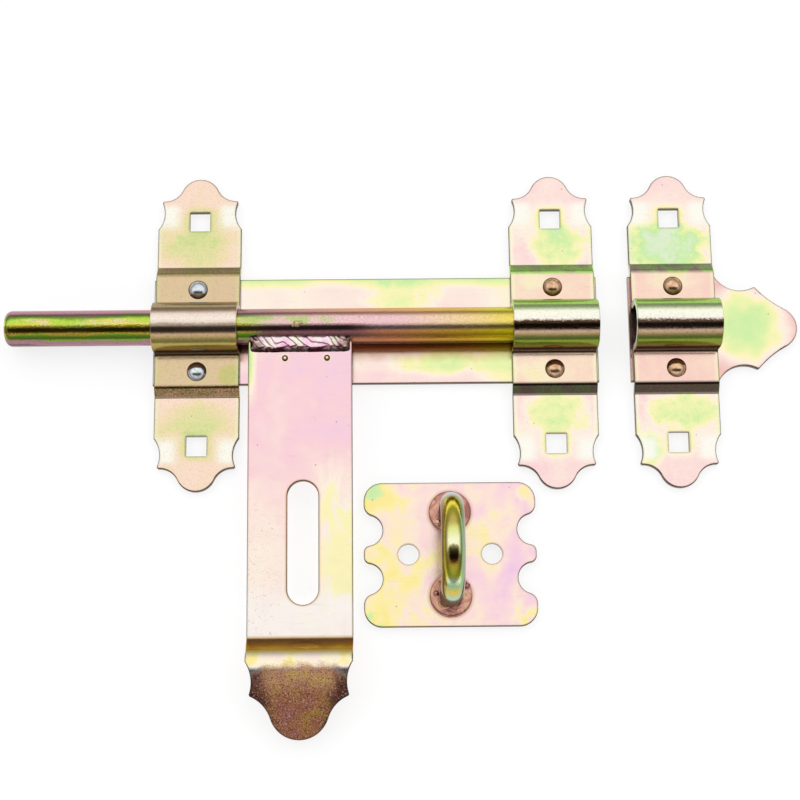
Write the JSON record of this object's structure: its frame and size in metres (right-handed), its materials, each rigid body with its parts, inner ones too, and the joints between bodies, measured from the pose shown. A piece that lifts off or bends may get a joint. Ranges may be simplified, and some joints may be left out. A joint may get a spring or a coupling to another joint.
{
  "type": "gate bolt",
  "caption": "Round-bar gate bolt that slides in riveted keepers on a back plate, with a welded slotted hasp, an ornamental strike keeper and a looped staple for a padlock.",
  "frame": {"origin": "on the gate's face under the bar, at the middle of the back plate's underside", "axes": "+X along the bar, the way it is shot into the strike keeper; +Z off the gate; the hasp hangs to -Y"},
  "size_m": [0.3546, 0.2534, 0.049],
  "materials": {
    "plate_zinc": "yellow-passivated zinc plate",
    "keeper_zinc": "yellow-passivated zinc plate",
    "bar_zinc": "yellow-passivated zinc plate",
    "hasp_zinc": "yellow-passivated zinc plate",
    "weld_zinc": "yellow-passivated zinc plate",
    "loop_zinc": "yellow-passivated zinc plate",
    "collar_zinc": "yellow-passivated zinc plate",
    "rivet_bright": "bright zinc plate",
    "rivet_brown": "yellow-passivated zinc plate"
  },
  "bodies": {
    "base": {"back_plate": "plate_zinc", "keeper_left": "keeper_zinc", "keeper_right": "keeper_zinc", "strike_keeper": "keeper_zinc", "keeper_left_rivet_upper": "rivet_bright", "keeper_left_rivet_lower": "rivet_bright", "keeper_right_rivet_upper": "rivet_brown", "keeper_right_rivet_lower": "rivet_brown", "strike_keeper_rivet_upper": "rivet_brown", "strike_keeper_rivet_lower": "rivet_brown", "strike_plate": "plate_zinc", "staple_plate": "plate_zinc", "staple_loop": "loop_zinc", "staple_collar_upper": "collar_zinc", "staple_collar_lower": "collar_zinc"},
    "bar": {"bolt_bar": "bar_zinc"},
    "hasp": {"hasp": "hasp_zinc", "hasp_weld": "weld_zinc"}
  },
  "joints": [
    {"name": "bolt_slide", "type": "slide", "parent": "base", "child": "bar", "axis": [1, 0, 0], "range_m": [-0.0042, 0.0327]},
    {"name": "hasp_lift", "type": "hinge", "parent": "bar", "child": "hasp", "pos_m": [-0.0334, 0, 0.0113], "axis": [-1, 0, 0], "range_deg": [0, 180]}
  ]
}
